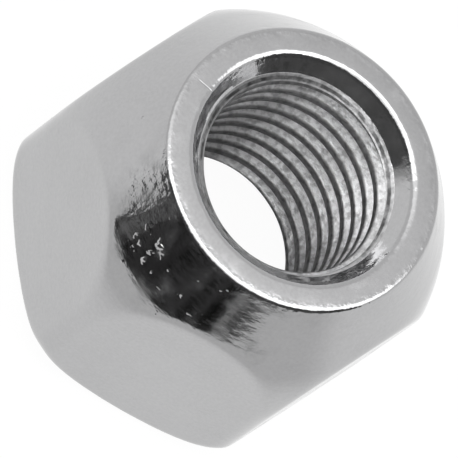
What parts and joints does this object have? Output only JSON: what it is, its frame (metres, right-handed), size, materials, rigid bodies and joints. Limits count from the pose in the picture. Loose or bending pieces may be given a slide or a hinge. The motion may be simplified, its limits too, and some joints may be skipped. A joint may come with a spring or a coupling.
{
  "type": "lug nut",
  "caption": "Short open-ended hex lug nut, threaded right through, with a conical seat that centres a wheel on its stud.",
  "frame": {"origin": "centre of the flat back face, the face the nut stands on", "axes": "+Z along the bore from the hex end to the conical seat end; +X through two opposite corners of the hexagon; +Y square to two opposite flats"},
  "size_m": [0.0234, 0.0206, 0.0168],
  "materials": {
    "chrome_plate": "bright chrome plate over machined steel, duller in the thread"
  },
  "bodies": {
    "root": {"lug_nut": "chrome_plate"}
  },
  "joints": []
}
